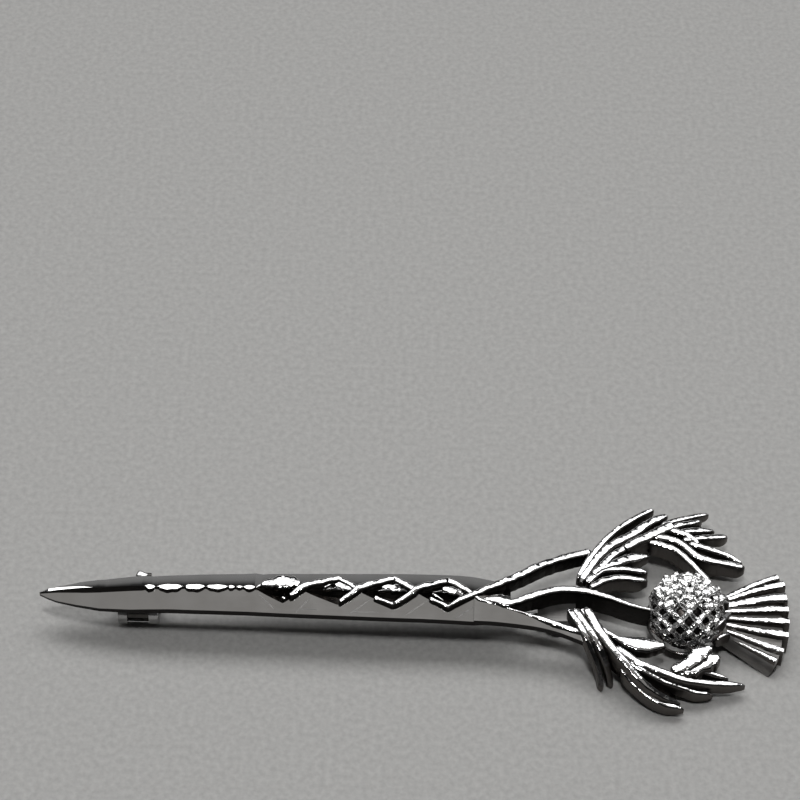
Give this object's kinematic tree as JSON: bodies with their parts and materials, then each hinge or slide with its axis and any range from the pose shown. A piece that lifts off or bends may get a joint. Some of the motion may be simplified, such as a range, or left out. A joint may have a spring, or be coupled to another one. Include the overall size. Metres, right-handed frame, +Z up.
{
  "type": "kilt pin",
  "caption": "Long bladed kilt pin with a twisted ridge and a cast thistle head, with a hinged pin stem and a turning safety catch on its back.",
  "frame": {"origin": "bottom centre of the bounding box, on the surface that the pin lies on", "axes": "+X along the pin from the blade's point to the flower, +Z up out of the decorated face, +Y towards the far leaf"},
  "size_m": [0.09, 0.0276, 0.0076],
  "materials": {
    "cast_chrome": "polished chrome plate over a casting, with dark recesses",
    "finding_steel": "bright plated steel",
    "stem_steel": "drawn steel wire, ground to a point"
  },
  "bodies": {
    "brooch": {"casting": "cast_chrome", "hinge_bracket": "finding_steel", "hinge_rivet": "finding_steel", "catch_housing": "finding_steel"},
    "stem": {"pin_stem": "stem_steel"},
    "rotor": {"catch_rotor": "finding_steel"}
  },
  "joints": [
    {"name": "stem_hinge", "type": "hinge", "parent": "brooch", "child": "stem", "pos_m": [0.017, -0.0015, 0.0014], "axis": [0, -1, 0], "range_deg": [0, 75]},
    {"name": "catch_turn", "type": "hinge", "parent": "brooch", "child": "rotor", "pos_m": [-0.0336, -0.0015, 0.0018], "axis": [-1, 0, 0], "range_deg": [0, 105]}
  ]
}
